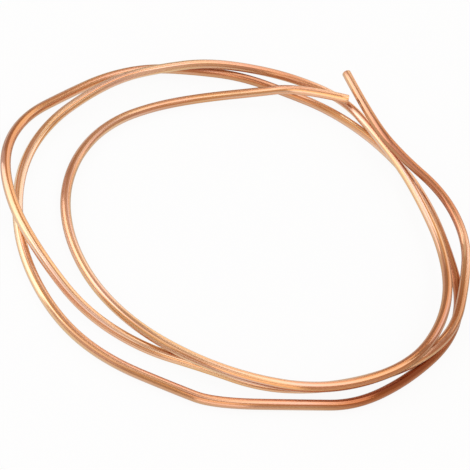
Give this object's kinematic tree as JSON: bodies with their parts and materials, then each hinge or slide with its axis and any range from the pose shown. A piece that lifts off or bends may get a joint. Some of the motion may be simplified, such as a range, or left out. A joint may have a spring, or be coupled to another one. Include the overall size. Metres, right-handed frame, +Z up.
{
  "type": "copper tube coil",
  "caption": "Loose coil of small-bore soft copper tube, a hollow drawn length with plain cut ends that is bent by hand and lies flat, for fuel, refrigeration and gauge lines.",
  "frame": {"origin": "on the floor, on the axis of the coil, which is the middle of its box in X and Y", "axes": "+Z up from the floor along the axis of the coil, +Y towards the side where the tube's two ends lie, +X to the right when looking along +Y"},
  "size_m": [0.2326, 0.2423, 0.0155],
  "materials": {
    "copper": null
  },
  "bodies": {
    "root": {"copper_tube": "copper"}
  },
  "joints": []
}
